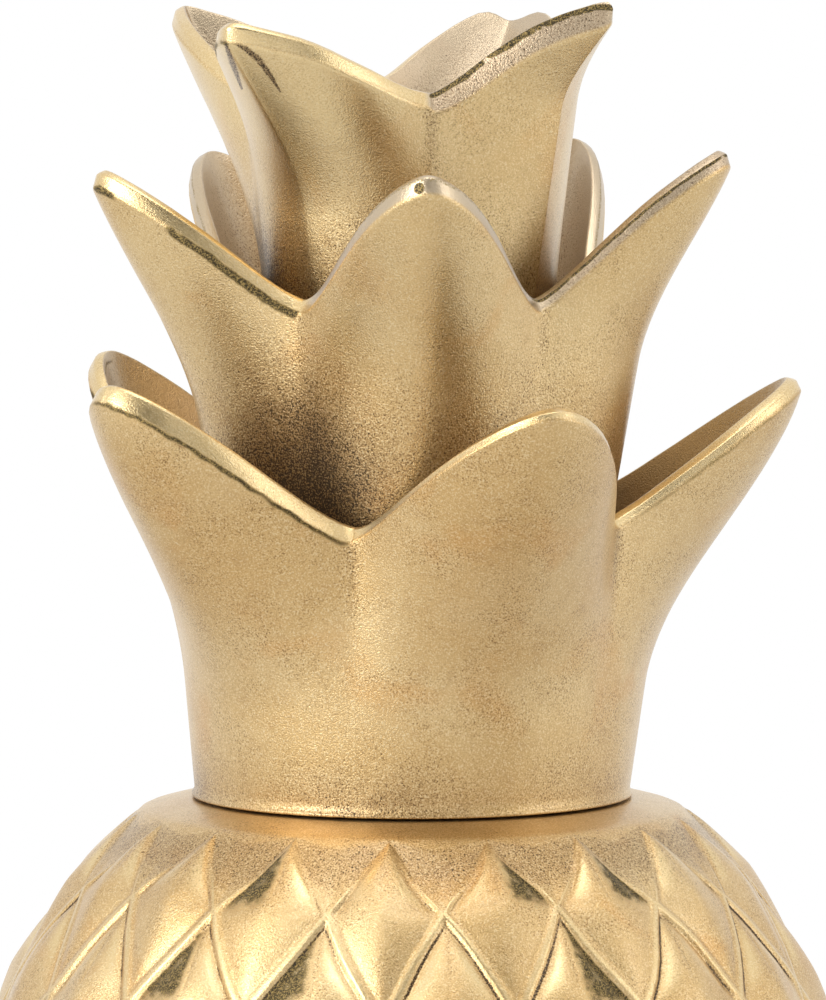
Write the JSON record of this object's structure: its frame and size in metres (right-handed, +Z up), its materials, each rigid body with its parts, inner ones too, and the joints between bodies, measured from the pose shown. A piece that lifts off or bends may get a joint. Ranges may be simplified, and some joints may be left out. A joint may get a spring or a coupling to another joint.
{
  "type": "pineapple box",
  "caption": "Hollow cast brass pineapple with a diamond-cut body and a lift-off crown of nested leaf whorls as its lid.",
  "frame": {"origin": "middle of the felt pad's underside, on the surface that the box stands on", "axes": "+Z up along the axis of the body and crown; -Y towards the camera of the picture, +X to its right"},
  "size_m": [0.1446, 0.1448, 0.3002],
  "materials": {
    "cast_brass": "cast, lightly polished, with a fine grain and dark patina in the hollows",
    "turned_brass": "turned, bright",
    "steel": "zinc plated, satin",
    "felt": "pressed wool felt"
  },
  "bodies": {
    "box": {"body_shell": "cast_brass", "base_plate": "turned_brass", "base_screw_1": "steel", "base_screw_2": "steel", "base_screw_3": "steel", "felt_pad": "felt"},
    "crown_lid": {"lower_whorl": "cast_brass", "middle_whorl": "cast_brass", "top_whorl": "cast_brass", "lid_plug": "turned_brass", "lower_spacer": "turned_brass", "upper_spacer": "turned_brass", "tie_rod": "steel", "top_nut": "turned_brass", "top_washer": "steel", "bottom_washer": "steel", "bottom_nut": "steel"}
  },
  "joints": [
    {"name": "lid_lift", "type": "slide", "parent": "box", "child": "crown_lid", "axis": [0, 0, 1], "range_m": [0, 0.06]}
  ]
}
